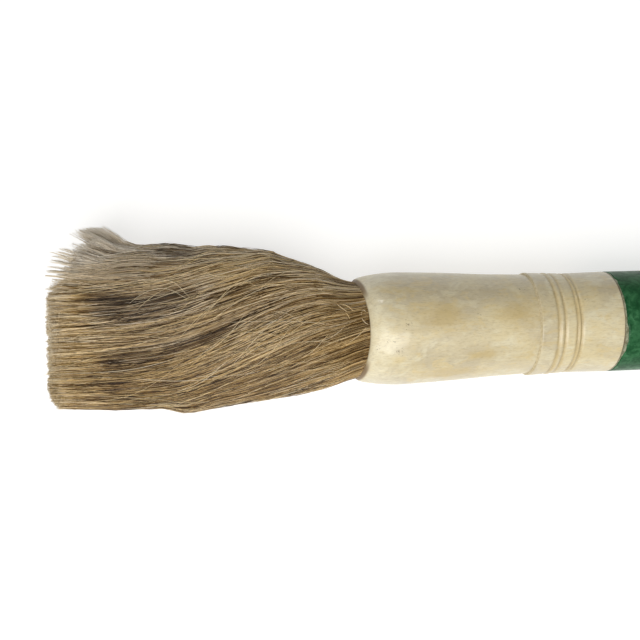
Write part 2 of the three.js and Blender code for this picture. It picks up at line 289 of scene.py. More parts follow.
def stone_material():
    """Polished green stone with darker clouds, paler veins and small inclusions."""
    paint = Paint("green_stone", specular=0.1, coat=0.02, coat_roughness=0.25)
    clouds = paint.noise(7, 5, 0.62, (0.7, 1, 1), 1.2)
    mottle = paint.noise(1.8, 4, 0.65, (0.8, 1, 1), 0.8)
    colour = paint.ramp(clouds, [
        (0.28, (0.010, 0.046, 0.019)), (0.45, (0.021, 0.098, 0.037)),
        (0.58, (0.037, 0.140, 0.057)), (0.76, (0.072, 0.215, 0.102)),
    ])
    colour = paint.wash(colour, (0.006, 0.052, 0.016), mottle, 0.44, 0.62, 0.7)
    flecks = paint.noise(0.6, 2, 0.5, (0.6, 1, 1))
    colour = paint.wash(colour, (0.06, 0.22, 0.10), flecks, 0.62, 0.74, 0.35)
    distance, tint = paint.cells(5.0)
    spot = paint.times(paint.graded(distance, 0.16, 0.02), paint.graded(tint, 0.6, 0.75))
    colour = paint.mix(spot, colour, (0.008, 0.012, 0.010))
    paint.bump(paint.add(mottle, flecks), 0.03, 0.4)
    return paint.finish(colour, paint.graded(mottle, 0.3, 0.7, 0.30, 0.42))


def plain_procedural(name, dark, light, size, stretch, roughness, relief):
    """Two tones blended by noise, with relief from the same noise, and a darker brown where a mesh asks
    for it.
    """
    paint = Paint(name, roughness)
    noise = paint.noise(size, 4, 0.6, stretch, 0.3)
    fine = paint.noise(size / 4, 2, 0.5, stretch)
    both = paint.add(paint.times(noise, 0.7), paint.times(fine, 0.3))
    paint.bump(both, relief, 0.6)
    colour = paint.wash(dark, light, both, 0.36, 0.64)
    return paint.finish(
        paint.mix(paint.attribute("dirt_and_shade"), colour, DIRT_AND_SHADE_BROWN),
        paint.graded(fine, 0.3, 0.7, roughness - 0.06, roughness + 0.06),
    )


BONE = bone_material()
STONE = stone_material()
PALE_GLUE = plain_procedural(
    "pale_glue", (0.13, 0.135, 0.07), (0.36, 0.38, 0.27), 1.4, (1, 1, 1), 0.45, 0.15)
DARK_GLUE = plain_procedural(
    "dark_glue", (0.44, 0.36, 0.21), (0.60, 0.51, 0.32), 0.8, (1, 1, 1), 0.6, 0.12)
WOOD = plain_procedural(
    "dowel_wood", (0.27, 0.15, 0.065), (0.56, 0.38, 0.20), 0.9, (0.06, 1, 1), 0.62, 0.1)
THREAD = plain_procedural(
    "binding_thread", (0.34, 0.27, 0.17), (0.60, 0.52, 0.38), 0.5, (1, 1, 1), 0.85, 0.2)
ROSIN = plain_procedural(
    "rosin", (0.09, 0.035, 0.010), (0.26, 0.11, 0.03), 2.5, (1, 1, 1), 0.3, 0.08)

# ------------------------------------------------------------------ meshes


def new_mesh(name, points, faces, smooth_below=math.pi):
    """A mesh object from points in millimetres and arrays of faces, each array of one size."""
    mesh = bpy.data.meshes.new(name)
    corners = np.concatenate([f.ravel() for f in faces]).astype(np.int32)
    sizes = np.concatenate([np.full(len(f), f.shape[1]) for f in faces])
    starts = np.concatenate([[0], np.cumsum(sizes)[:-1]]).astype(np.int32)
    mesh.vertices.add(len(points))
    mesh.vertices.foreach_set("co", to_frame(points).astype(np.float32).ravel())
    mesh.loops.add(len(corners))
    mesh.loops.foreach_set("vertex_index", corners)
    mesh.polygons.add(len(starts))
    mesh.polygons.foreach_set("loop_start", starts)
    mesh.update(calc_edges=True)
    mesh.validate()
    mesh.shade_smooth()
    if smooth_below < math.pi:
        mesh.set_sharp_from_angle(angle=smooth_below)
    piece = bpy.data.objects.new(name, mesh)
    bpy.context.collection.objects.link(piece)
    return piece


def add_attribute(piece, name, values):
    layer = piece.data.attributes.new(name, "FLOAT", "POINT")
    layer.data.foreach_set("value", np.asarray(values, np.float32).ravel())


def hand_in(piece, material, node):
    """Gives a piece its material and body, and hides the CAD node that it stands for."""
    piece.data.materials.clear()
    piece.data.materials.append(material)
    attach(piece, "root")
    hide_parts(node)


def densified(outline, step):
    """A closed outline with extra points on its long edges."""
    points = []
    for start, end in zip(outline, np.roll(outline, -1, axis=0)):
        count = max(1, int(np.ceil(np.linalg.norm(end - start) / step)))
        points += [start + (end - start) * k / count for k in range(count)]
    return np.array(points)


ROUNDING_STEPS = 6


def rounded(corners):
    """An outline of (x, radius, reach) corners, each softened over its own reach."""
    points = []
    places = np.array([c[:2] for c in corners], float)
    for k, (x, r, reach) in enumerate(corners):
        here = places[k]
        if reach == 0:
            points.append(here)
            continue
        ends = []
        for other in (places[k - 1], places[(k + 1) % len(corners)]):
            away = other - here
            ends.append(here + away * min(0.49, reach / np.linalg.norm(away)))
        for s in np.linspace(0, 1, ROUNDING_STEPS + 1):
            points.append((1 - s) ** 2 * ends[0] + 2 * s * (1 - s) * here + s * s * ends[1])
    return np.array(points)


# The order of a quad's corners that turns it over.
TURNED_OVER = [0, 3, 2, 1]


def tube_faces(rows, sides):
    """Quads between the rings of a tube, ring by ring."""
    row = np.arange(rows - 1)[:, None] * sides
    j = np.arange(sides)[None, :]
    k = (j + 1) % sides
    return np.stack([row + j, row + sides + j, row + sides + k, row + k], axis=-1).reshape(-1, 4)


def ring(front, back, bore, outside):
    """The outline of a ring with flat ends and a straight bore."""
    return rounded([(front, bore, 0), *outside, (back, bore, 0)])


SIDES = 240
FINE_SIDES = 360
SHARP = math.radians(42)
STEP = 0.5
ROD_STEP = 1.0


def turned(name, outline, wobble, paint=None, sides=SIDES, step=STEP):
    """A ring turned about the axis. The outline closes on itself and runs to +x along its outside."""
    outline = densified(np.asarray(outline, float), step)
    angle = round_turn(sides)
    x, angle = np.meshgrid(outline[:, 0], angle, indexing="ij")
    r = np.repeat(outline[:, 1:2], sides, axis=1)
    x_out, r_out = wobble(x, r, angle)
    points = np.stack([x_out, r_out * np.cos(angle), r_out * np.sin(angle)], axis=-1).reshape(-1, 3)
    faces = tube_faces(len(outline) + 1, sides)[:, TURNED_OVER] % len(points)
    piece = new_mesh(name, points, [faces], SHARP)
    for key, values in (paint(x, r, angle) if paint else {}).items():
        add_attribute(piece, key, np.broadcast_to(values, x.shape))
    return piece


def soft_waves(seed, count, x_rate, turns):
    """A gentle random surface over (x, angle), of height about 1."""
    rng = np.random.default_rng(seed)
    waves = [
        (rng.uniform(-x_rate, x_rate), rng.integers(0, turns + 1), rng.uniform(0, TURN))
        for _ in range(count)
    ]

    def height(x, angle):
        total = sum(np.sin(rate * x + lobes * angle + phase) for rate, lobes, phase in waves)
        return total / math.sqrt(count)

    return height


# ------------------------------------------------------------------ bone and stone

TOP = math.pi / 2
HAND_TURNED = soft_waves(SEED, 9, 0.35, 4)


def spots_at(spots, x, angle, radius):
    """Soft blotches, each (x, degrees from the top towards -y, half length, half width, strength)."""
    total = np.zeros_like(x)
    for place, degrees, half_length, half_width, strength in spots:
        away = (angle - TOP - math.radians(degrees) + math.pi) % TURN - math.pi
        reach = ((x - place) / half_length) ** 2 + (away * radius / half_width) ** 2
        total = np.maximum(total, strength * np.exp(-reach))
    return total


# Tan blotches and pitted places on the bone pieces.
STAINS = [
    (-29.5, -12, 8.5, 4.6, 1.0), (-6.5, -12, 8, 6, 0.85), (-41, -39, 6.5, 3.6, 0.55),
    (-17.5, 31, 4.6, 2.2, 1.0), (-27, 54, 11, 2.8, 1.05), (-37, 40, 4, 2, 0.35), (-4, 30, 6, 8, 0.4),
    (-4, -26, 4, 3, 0.4), (-40, 120, 9, 6, 0.7), (-20, 170, 8, 5, 0.8), (-34, -130, 9, 5, 0.8),
    (-12, -100, 7, 4, 0.7), (3, 60, 6, 3, 0.4), (19, -40, 5, 3, 0.35), (17, 30, 4, 4, 0.35),
    (20, 150, 5, 4, 0.5), (153, -30, 5, 4, 0.6), (160, 70, 4, 5, 0.5), (157, 170, 5, 4, 0.5),
    (185, 20, 5, 4, 0.6), (178, -80, 4, 3, 0.6), (188, 150, 5, 4, 0.5),
]
PITTED = [
    (-40, -4, 1.6, 1.6, 0.55), (-45.5, 12, 1.6, 1.2, 0.5), (-42.5, 24, 2.2, 1.8, 0.45),
    (-39.5, 30, 1.6, 1.0, 0.42), (-5.5, -44, 1.8, 1.2, 0.5), (14.5, -26, 1.6, 1.2, 0.5),
    (-50, 22, 1.4, 1.4, 0.4), (-19, -12, 1, 1, 0.4), (-25, 150, 5, 4, 0.35), (-8, 110, 3, 3, 0.3),
    (16, 170, 3, 3, 0.3), (158, -60, 3, 3, 0.4), (186, -10, 3, 3, 0.4), (183, 120, 3, 3, 0.35),
]


def bone_marks(x, r, angle, dirt_and_shade):
    """What the bone material reads at each vertex."""
    stain_and_light, pits = (spots_at(spots, x, angle, r) for spots in (STAINS, PITTED))
    return {"dirt_and_shade": dirt_and_shade, "stain_and_light": stain_and_light, "pits": pits}


def bone_wobble(amount):
    """The slight unevenness of a hand-turned outside, in millimetres."""
    def wobble(x, r, angle):
        return x, r + amount * HAND_TURNED(x, angle) * ease(r, 12, 15)
    return wobble


FERRULE_CURVE = through([
    (-52.5, 14.0), (-52.1, 14.6), (-51.4, 15.15), (-50.2, 15.65), (-48.6, 16.05), (-46, 16.5),
    (-43, 16.8), (-39, 16.93), (-24, 16.3), (-12, 15.6), (-1.2, 15.2),
])
MOUTH_BORE_R = 14.1
CORE_BORE_R = 11.5
TENON_BORE_R = 7.0
PEG_BORE_R = 5.1
LIP_DIP = 2.9
LIP_FORWARD = 0.8


def ferrule_wobble(x, r, angle):
    """The lip is set back where the hair lies over it, at the top and bottom."""
    dip = LIP_DIP * np.abs(np.sin(angle)) ** 1.2 - LIP_FORWARD
    x_out, r_out = bone_wobble(0.03)(x, r, angle)
    return x_out + dip * ease(x, -44.5, -51.5), r_out


def ferrule_marks_shade_and_light(x, r, angle):
    # Brown at the lip's sides where the hair meets it, and darker at the mouth's edge.
    at_sides = ease(np.abs(np.cos(angle)), 0.5, 0.85)
    lip = ease(x, MOUTH_X + 1.5, MOUTH_X + 0.6) * at_sides
    # Painted light: the lip's shoulder towards the mouth is painted paler.
    painted_light_on_lip = 0.55 * ease(x, -37, -50) * (1 - lip)
    rim = ease(x, MOUTH_X + 0.35, MOUTH_X) * 0.6
    # Painted shade inside the bore; a faint dark joint at the seam.
    inside = (r < FERRULE_CURVE(np.clip(x, MOUTH_X, -1.2)) - 0.6) * 0.8
    seam = bell(x, FERRULE_BACK, 0.25) * (0.05 + 0.1 * HAND_TURNED(x * 4, angle * 3))
    marks = bone_marks(x, r, angle, np.maximum.reduce([lip, rim, inside, seam]))
    marks["stain_and_light"] = np.maximum(marks["stain_and_light"], lip * 0.9) - painted_light_on_lip
    return marks


def bone_ferrule():
    """The hair cup, with a rounded lip."""
    outside = [(x, float(FERRULE_CURVE(x)), 0) for x in np.linspace(MOUTH_X + 0.1, -1.2, 140)]
    outline = rounded([
        (MOUTH_X, MOUTH_BORE_R - 0.2, 0.1), *outside, (FERRULE_BACK, 15.1, 0.05),
        (FERRULE_BACK, CORE_BORE_R, 0), (-27, CORE_BORE_R, 0), (-38, 13.2, 0),
        (-47, MOUTH_BORE_R + 0.3, 0), (-51, MOUTH_BORE_R, 0),
    ])
    piece = turned("ferrule_shell", outline, ferrule_wobble, ferrule_marks_shade_and_light)
    hand_in(piece, BONE, "bone_ferrule")


COLLAR_GROOVES = [(5.2, 0.30), (7.2, 0.34), (11.0, 0.30), (12.2, 0.34)]
GROOVE_WIDTH = 0.5


def marks_at(grooves, x, width):
    """A bell of height 1 at each groove."""
    return sum(bell(x, place, width) for place, _ in grooves)


def groove_cut(grooves, x):
    """How deep the grooves have cut at x."""
    return sum(depth * bell(x, place, GROOVE_WIDTH) for place, depth in grooves)


def collar_radius(x):
    """The collar's outside: a waist at the last groove, and a bead between the grooves of a pair."""
    base = through([(0, 15.75), (12, 15.3), (18, 15.35), (25.3, 15.5)])(x)
    bead = 0.12 * bell(x, 6.2, 0.8) + 0.10 * bell(x, 11.6, 0.4)
    return base - groove_cut(COLLAR_GROOVES, x) + bead


def collar_marks_and_shade(x, r, angle):
    lines = marks_at(COLLAR_GROOVES, x, 0.45)
    front = bell(x, 0, 0.12) * (0.05 + 0.12 * HAND_TURNED(x * 3, angle * 5))
    back = bell(x, COLLAR_BACK, 0.3) * 0.4
    # Painted shade inside the bore.
    inside = (r < 14.6) * 1.0
    uneven = 0.30 + 0.06 * HAND_TURNED(x * 2 + 7, angle * 2)
    marks = bone_marks(x, r, angle, np.maximum.reduce([lines * uneven, front, back, inside]))
    marks["stain_and_light"] = marks["stain_and_light"] + 0.75 * marks_at(COLLAR_GROOVES, x, 0.8)
    return marks


def bone_collar():
    """The ringed sleeve behind the ferrule."""
    ringed = [(x, float(collar_radius(x)), 0) for x in np.linspace(0.35, 13.6, 150)]
    plain = [(x, float(collar_radius(x)), 0) for x in np.linspace(14, COLLAR_BACK - 0.35, 24)]
    outside = [(0, 15.7, 0.2), *ringed, *plain, (COLLAR_BACK, 15.45, 0.2)]
    outline = ring(0, COLLAR_BACK, CORE_BORE_R, outside)
    piece = turned("collar_sleeve", outline, bone_wobble(0.025), collar_marks_and_shade)
    hand_in(piece, BONE, "bone_collar")


def ferrule_seam():
    """Old glue that fills the step between ferrule and collar."""

    def wobble(x, r, angle):
        return x, r + 0.05 * HAND_TURNED(x + 3, angle * 6) * ease(r, 14.5, 15.3)

    low, high = FERRULE_BACK - 0.1, 0.02
    outline = ring(low, high, CORE_BORE_R, [(low, 15.22, 0.05), (high, 15.66, 0.1)])
    hand_in(turned("ferrule_glue", outline, wobble), DARK_GLUE, "ferrule_seam")


def chip_depth(angle):
    """How far back the stone's front edge is chipped, round the brush."""
    turn = np.degrees(angle - TOP)
    chips = [(17, 15, 0.95), (-52, 5, 0.5), (36, 9, 0.5), (110, 12, 0.6), (165, 8, 0.4), (-120, 15, 0.7)]
    wrapped = [(turn - place + 180) % 360 - 180 for place, _, _ in chips]
    depth = sum(size * bell(w, 0, width) for w, (_, width, size) in zip(wrapped, chips))
    return 0.12 + depth + 0.05 * np.sin(23 * angle) + 0.04 * np.sin(41 * angle + 1)


def jade_shaft():
    """The stone rod, its front edge chipped where it meets the glue."""

    def wobble(x, r, angle):
        depth = chip_depth(angle)
        near = ease(x, SHAFT_FRONT + 2.2, SHAFT_FRONT) * ease(r, 13.8, SHAFT_R)
        slope = np.clip((x - SHAFT_FRONT) / np.maximum(depth, 0.05), 0, 1)
        low = (1 - slope) * np.minimum(0.28 + 0.25 * depth, 0.5) * near
        return x, r - low + 0.02 * HAND_TURNED(x * 0.4, angle) * ease(r, 12, 15)

    front = [(SHAFT_FRONT + s, SHAFT_R - 0.02, 0) for s in np.linspace(0.05, 2.2, 24)]
    outline = rounded([
        (SHAFT_FRONT, TENON_BORE_R, 0), (SHAFT_FRONT, SHAFT_R - 0.1, 0), *front,
        (SHAFT_BACK, SHAFT_R, 0.4), (SHAFT_BACK, PEG_BORE_R, 0), (SHAFT_BACK - 20, PEG_BORE_R, 0),
        (SHAFT_BACK - 21, 0.6, 0), (SHAFT_FRONT + 27, 0.6, 0), (SHAFT_FRONT + 26, TENON_BORE_R, 0),
    ])
    piece = turned("stone_rod", outline, wobble, step=ROD_STEP)
    hand_in(piece, STONE, "jade_shaft")


def front_glue():
    """Pale glue between bone and stone, which also fills the chips in the stone's edge."""
    low, high = span("front_glue_seam")

    def wobble(x, r, angle):
        share = ease(x, low, high)
        back = SHAFT_FRONT + 0.9 * chip_depth(angle) - high
        swell = 0.10 + 0.09 * HAND_TURNED(x * 5, angle * 7)
        return x + share * back, r + (swell - 0.22 * share) * ease(r, 14.5, 15.2)

    def paint(x, r, angle):
        by_bone = ease(x, middle(low, high), low)
        return {"dirt_and_shade": by_bone * (0.6 + 0.25 * HAND_TURNED(x, angle * 6))}

    outside = [(low, 15.2, 0.05), (middle(low, high), 15.35, 0.05), (high, 15.3, 0.05)]
    outline = ring(low, high, TENON_BORE_R, outside)
    piece = turned("front_glue", outline, wobble, paint, FINE_SIDES)
    hand_in(piece, PALE_GLUE, "front_glue_seam")


def rear_glue():
    """The thinner line of glue at the other end of the stone."""
    low, high = span("rear_glue_seam")

    def wobble(x, r, angle):
        return x, r + 0.1 * HAND_TURNED(x * 3, angle * 6) * ease(r, 14.5, 15.2)

    def paint(x, r, angle):
        return {"dirt_and_shade": 0.3 + 0.25 * HAND_TURNED(x, angle * 5)}

    outline = ring(low, high, PEG_BORE_R, [(low, 15.25, 0.1), (high, 15.3, 0.1)])
    piece = turned("rear_glue", outline, wobble, paint, FINE_SIDES)
    hand_in(piece, PALE_GLUE, "rear_glue_seam")


REAR_GROOVES = [(5.0, 0.32), (6.3, 0.30), (10.2, 0.34)]
REAR_CURVE = through([
    (0, 15.62), (2, 15.72), (7, 15.5), (11, 15.6), (14.4, 16.3), (16.6, 16.85), (17.6, 16.95),
    (18.6, 16.85), (19.5, 16.3), (20, 15.5),
])


def rear_collar():
    """The ringed collar behind the stone, flaring to the rim that the brush rests on."""

    def radius(along):
        return float(REAR_CURVE(along) - groove_cut(REAR_GROOVES, along))

    def paint(x, r, angle):
        along = x - REAR_FRONT
        lines = marks_at(REAR_GROOVES, along, 0.42)
        # The front joint, and painted shade on the end faces towards the bore.
        ends = bell(along, 0, 0.3) + ease(r, 14.9, 13.2)
        uneven = 0.34 + 0.08 * HAND_TURNED(x * 2, angle * 2)
        return bone_marks(x, r, angle, np.clip((lines + ends) * uneven, 0, 1))

    turnings = [(REAR_FRONT + along, radius(along), 0) for along in np.linspace(0.3, 19.9, 190)]
    outside = [(REAR_FRONT, 15.5, 0.1), *turnings, (REAR_BACK, 15.2, 0.2)]
    outline = ring(REAR_FRONT, REAR_BACK, PEG_BORE_R, outside)
    piece = turned("rear_sleeve", outline, bone_wobble(0.025), paint)
    hand_in(piece, BONE, "rear_collar")


CORD_HOLE_R = 3.2
CORD_HOLE_X = KNOB_FRONT + 17
KNOB_CURVE = through([
    (0, 12.85), (0.5, 13.2), (1.3, 13.15), (2.1, 12.1), (3.6, 10.2), (6.4, 8.7), (9.2, 9.6), (13, 11.8),
    (17, 12.4), (21.5, 11.2), (24.6, 8.9), (26.3, 6.9), (27, 5.5),
])


def hole_cutter():
    """A spool across the knob that cuts the cord's hole and rounds both of its rims."""
    sides = 48
    profile = np.array([
        (-14, 5.8), (-12.5, 4.3), (-11.4, 3.55), (-10, CORD_HOLE_R), (10, CORD_HOLE_R), (11.4, 3.55),
        (12.5, 4.3), (14, 5.8),
    ])
    y, around = np.meshgrid(profile[:, 0], round_turn(sides), indexing="ij")
    r = np.repeat(profile[:, 1:2], sides, axis=1)
    points = np.stack([CORD_HOLE_X + r * np.cos(around), y, r * np.sin(around)], axis=-1).reshape(-1, 3)
    near = np.arange(sides)[None, :]
    far = (len(profile) - 1) * sides + near[:, ::-1]
    return new_mesh("hole_cutter", points, [tube_faces(len(profile), sides), near, far])


def drilled(piece, cutter):
    """The piece with the cutter's shape taken out of it."""
    cut = piece.modifiers.new("cut", "BOOLEAN")
    cut.operation = "DIFFERENCE"
    cut.solver = "EXACT"
    cut.object = cutter
    bpy.context.view_layer.update()
    mesh = bpy.data.meshes.new_from_object(piece.evaluated_get(bpy.context.evaluated_depsgraph_get()))
    piece.modifiers.clear()
    piece.data = mesh
    bpy.data.objects.remove(cutter)
    mesh.shade_smooth()
    mesh.set_sharp_from_angle(angle=SHARP)
    return piece


def end_knob():
    """The turned finial, drilled across for a hanging cord."""
    outside = [(KNOB_FRONT + along, float(KNOB_CURVE(along)), 0) for along in np.linspace(0, 27, 110)]
    outline = rounded([
        (KNOB_FRONT, PEG_BORE_R, 0), *outside, (BUTT_X, 0.02, 0), (KNOB_FRONT + 9, 0.02, 0),
        (KNOB_FRONT + 8.5, PEG_BORE_R, 0),
    ])
    piece = drilled(turned("knob_finial", outline, bone_wobble(0.03)), hole_cutter())
    places = np.empty(len(piece.data.vertices) * 3, np.float32)
    piece.data.vertices.foreach_get("co", places)
    x, y, z = ((places.reshape(-1, 3) - ORIGIN) / MM).T
    r, angle = np.hypot(y, z), np.arctan2(z, y)
    # Darker in the neck and round the cord's hole, and painted shade on the face hidden against the
    # collar.
    neck = bell(x, KNOB_FRONT + 6, 3) * 0.3 + bell(x, KNOB_FRONT + 2.4, 0.6) * 0.35
    hole = ease(np.hypot(x - CORD_HOLE_X, z), 5.6, 3.4) * 0.75
    hidden = (x < KNOB_FRONT + 0.05) * 0.6
    uneven = 0.9 + 0.25 * HAND_TURNED(x * 2, angle * 3)
    dirt_and_shade = np.clip(np.maximum.reduce([neck, hole, hidden]) * uneven, 0, 1)
    for name, values in bone_marks(x, r, angle, dirt_and_shade).items():
        add_attribute(piece, name, values)
    hand_in(piece, BONE, "end_knob")


bone_ferrule()
ferrule_seam()
bone_collar()
front_glue()
jade_shaft()
rear_glue()
rear_collar()
end_knob()

# The parts inside keep their plain shapes.
INSIDE = {"root_binding": THREAD, "rosin_plug": ROSIN, "front_dowel": WOOD, "rear_dowel": WOOD}
for node, material in INSIDE.items():
    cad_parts[node].material_slots[0].material = material

# ------------------------------------------------------------------ hair
# A place in the tuft is (t, angle, depth): t from the ferrule's mouth (0) to the cut tip (1), the
# angle round the tuft from +y over the top, and the depth as a share of the way out to its skin.

TONES = {
    "golden": [
        (0.0, (0.030, 0.012, 0.002)), (0.25, (0.125, 0.062, 0.011)), (0.5, (0.380, 0.236, 0.079)),
        (0.75, (0.715, 0.530, 0.250)), (1.0, (0.950, 0.850, 0.640)),
    ],
    "grey": [
        (0.0, (0.024, 0.013, 0.004)), (0.25, (0.108, 0.068, 0.029)), (0.5, (0.348, 0.270, 0.176)),
        (0.75, (0.690, 0.595, 0.455)), (1.0, (0.940, 0.885, 0.790)),
    ],
}
HAIR_MAP = "OFBake"


def hair_material():
    """Natural hair. Its map holds warmth across, from grey to golden, and tone upwards."""
    paint = Paint("animal_hair", roughness=0.42, specular=0.25)
    where = paint.nodes.new("ShaderNodeUVMap")
    where.uv_map = HAIR_MAP
    parts = paint.nodes.new("ShaderNodeSeparateXYZ")
    paint.links.new(where.outputs["UV"], parts.inputs["Vector"])
    warmth, tone = parts.outputs["X"], parts.outputs["Y"]
    colour = paint.mix(warmth, *(paint.ramp(tone, TONES[name]) for name in ("grey", "golden")))
    return paint.finish(colour, paint.graded(tone, 0.2, 0.9, 0.36, 0.5))


HAIR = hair_material()

# The outline seen from above, without the small bulges that only the outermost hairs follow.
LEFT_EDGE = through([
    (0, 13.8), (0.03, 14.6), (0.057, 15.5), (0.09, 16.8), (0.144, 19.2), (0.26, 22.3), (0.4, 24.7),
    (0.55, 25.6), (0.7, 26.0), (0.85, 25.8), (1, 25.5)])
RIGHT_EDGE = through([
    (0, -13.9), (0.03, -14.7), (0.057, -15.6), (0.127, -17.1), (0.2, -18.3), (0.3, -19.5), (0.45, -20.7),
    (0.6, -21.1), (0.8, -20.4), (1, -19.6)])
LEFT_BULGE = through([
    (0, 0), (0.26, -0.5), (0.322, 0.4), (0.409, -0.5), (0.53, 0.1), (0.613, -0.7), (0.734, 0.6),
    (0.79, 0.3), (0.845, 0.4), (0.907, 1.6), (0.939, 3.2), (0.969, 5.0), (1, 6.6)])
RIGHT_BULGE = through([
    (0, 0), (0.454, 0), (0.534, 0.8), (0.59, 1.1), (0.66, -0.3), (0.75, 0), (1, 0)])
CROWN = through([(0, 13.8), (0.06, 15.2), (0.15, 16.8), (0.45, 19), (0.8, 18.6), (1, 16.5)])
BELLY = through([(0, 13.8), (0.06, 15.2), (0.15, 17.5), (0.45, 20), (1, 20.5)])

# How far the hairs have swirled round the tuft, in degrees, on their way to the tip.
SWIRL = through([
    (-0.1, -9), (0, 0), (0.1, 10.5), (0.2, 21), (0.3, 31.5), (0.4, 41.5), (0.5, 50), (0.6, 57),
    (0.68, 61), (0.76, 63.5), (0.87, 65), (1, 66)])


def tip_x(y, z=0.0):
    """The cut end: domed on top, and cut back at the splayed left side and the right corner."""
    left = 8.7 * ease(y, 11, 23) + 1.5 * ease(y, 24, 28) + 2.8 * bell(y, 28.4, 1.7)
    left = left + 5 * ease(y, 30.2, 32.6)
    right = 3.2 * ease(-y, 13, 21)
    return TIP_X + left + right + 3.6 * (np.maximum(z, 0) / 16.5) ** 1.5


def tip_of(y, z):
    """Where hairs would end, from the last of their places across."""
    return tip_x(y[:, -1:], z[:, -1:])


def across(t, angle, depth):
    """The (y, z) of a place in the tuft."""
    t = np.clip(t, 0, 1)
    left, right = LEFT_EDGE(t), RIGHT_EDGE(t)
    aside, lift = np.cos(angle), np.sin(angle)
    bulge = LEFT_BULGE(t) * np.maximum(aside, 0) ** 3 - RIGHT_BULGE(t) * np.maximum(-aside, 0) ** 5
    y = (left + right) / 2 + (left - right) / 2 * depth * aside + depth * bulge
    return y, lift * depth * np.where(lift > 0, CROWN(t), BELLY(t))


def swirled(t, root_angle):
    """The angle that a hair has reached at t. The right-hand side swirls less."""
    less = 1 - 0.35 * bell(np.degrees(root_angle) % 360, 130, 35)
    return root_angle + np.radians(SWIRL(t)) * less


class Draws:
    """Random columns, with a row for each hair of a group."""

    def __init__(self, rng, count):
        self.rng = rng
        self.shape = (count, 1)

    def normal(self, spread):
        return self.rng.normal(0, spread, self.shape)

    def between(self, low, high):
        return self.rng.uniform(low, high, self.shape)

    def share(self):
        return self.rng.random(self.shape)

    def waves(self, t, slow, fast):
        """One random wave over t for each row, of height about 1."""
        total = 0
        for _ in range(2):
            rate = self.between(slow, fast)
            total = total + np.sin(rate * t + self.between(0, TURN))
        return total * 0.7


def ripple(angle, t):
    """Broad locks: a smooth field over the tuft, of height about 1."""
    return 0.6 * (
        np.sin(5 * angle + 2.1 * t + 0.4) + np.sin(9 * angle - 2.7 * t + 2.2)
        + 0.6 * np.sin(14 * angle + 3.3 * t + 5.1)
    )


def laid(end, t, y, z, lift):
    """Paths from the mouth to their ends. Hairs that would sink lie on the table in a thin layer."""
    x = MOUTH_X + (end - MOUTH_X) * t
    return np.stack([x, y, np.maximum(z, TABLE_Z + lift)], axis=-1)


def set_hair_map(piece, where):
    """Stores a (warmth, tone) for each vertex."""
    corners = np.empty(len(piece.data.loops), np.int32)
    piece.data.loops.foreach_get("vertex_index", corners)
    layer = piece.data.uv_layers.new(name=HAIR_MAP)
    layer.data.foreach_set("uv", where[corners].astype(np.float32).ravel())


STRAND_SIDES = 3
MAP_MARGIN = 0.03
MAP_SPREAD = 0.012


def strand_mesh(name, paths, radii, warmth, tone):
    """Three-sided tapered hairs. Paths are (hairs, points, 3); the others are (hairs, points)."""
    hairs, count = radii.shape
    along_hair = np.gradient(paths, axis=1)
    along_hair /= np.linalg.norm(along_hair, axis=2, keepdims=True)
    side = np.cross(along_hair, (0.05, 0.31, 0.95))
    side /= np.linalg.norm(side, axis=2, keepdims=True)
    up = np.cross(side, along_hair)
    corner = np.arange(STRAND_SIDES)
    turn = round_turn(STRAND_SIDES)
    rim = side[:, :, None, :] * np.cos(turn)[:, None] + up[:, :, None, :] * np.sin(turn)[:, None]
    points = (paths[:, :, None, :] + rim * radii[:, :, None, None]).reshape(-1, 3)

    first = np.arange(hairs)[:, None] * count * STRAND_SIDES
    wall = first[:, :, None] + tube_faces(count, STRAND_SIDES)[:, TURNED_OVER]
    root = first + corner[::-1]
    tip = first + (count - 1) * STRAND_SIDES + corner
    piece = new_mesh(name, points, [wall.reshape(-1, 4), root, tip])

    where = np.clip(np.stack([warmth, tone], axis=-1), MAP_MARGIN, 1 - MAP_MARGIN)
    spread = np.array([[-1, -1], [1, -1], [0, 1]]) * MAP_SPREAD
    set_hair_map(piece, (where[:, :, None, :] + spread).reshape(-1, 2))
    return piece


# Tracks on the top of the tuft, each (x, y) places in millimetres, a width and a strength: dark
# bundles, then greyer and more golden locks.
STREAKS = [
    ([(-127.7, 11.6), (-118.4, 9.9), (-113.4, 9.4), (-101.2, 12.2)], 1.5, 0.95),
    ([(-127, 7.4), (-114, 6), (-104.8, 8.9)], 1.3, 0.75),
    ([(-122.2, 5.1), (-114.5, 4.7)], 1.1, 0.65),
    ([(-128.7, 3.7), (-123.4, 2.8)], 0.7, 0.6),
    ([(-126.3, -5.1), (-121.6, -6.6), (-116.8, -5), (-109.9, -5.1), (-97, -0.5), (-88.7, 2.7)],
     1.1, 0.9),
    ([(-126.5, -11.5), (-119.1, -12.7)], 0.6, 0.6),
    ([(-123.9, -13.7), (-121.2, -14.5)], 0.7, 0.5),
    ([(-121.4, 20.1), (-116.4, 18.9)], 0.6, 0.55),
    ([(-91.4, 10.4), (-85.3, 12.3)], 1.0, 0.5),
]
GREY_LOCKS = [
    ([(-124.8, 9), (-114.2, 7.8), (-104.8, 9.4), (-96.5, 12.5)], 4.2, 0.8),
    ([(-133, 24), (-118, 24), (-100, 25)], 4.5, 0.55),
    ([(-122, -6), (-100, 0)], 2.2, 0.5),
    ([(-92, 3), (-72, 9)], 4.0, 0.35),
]
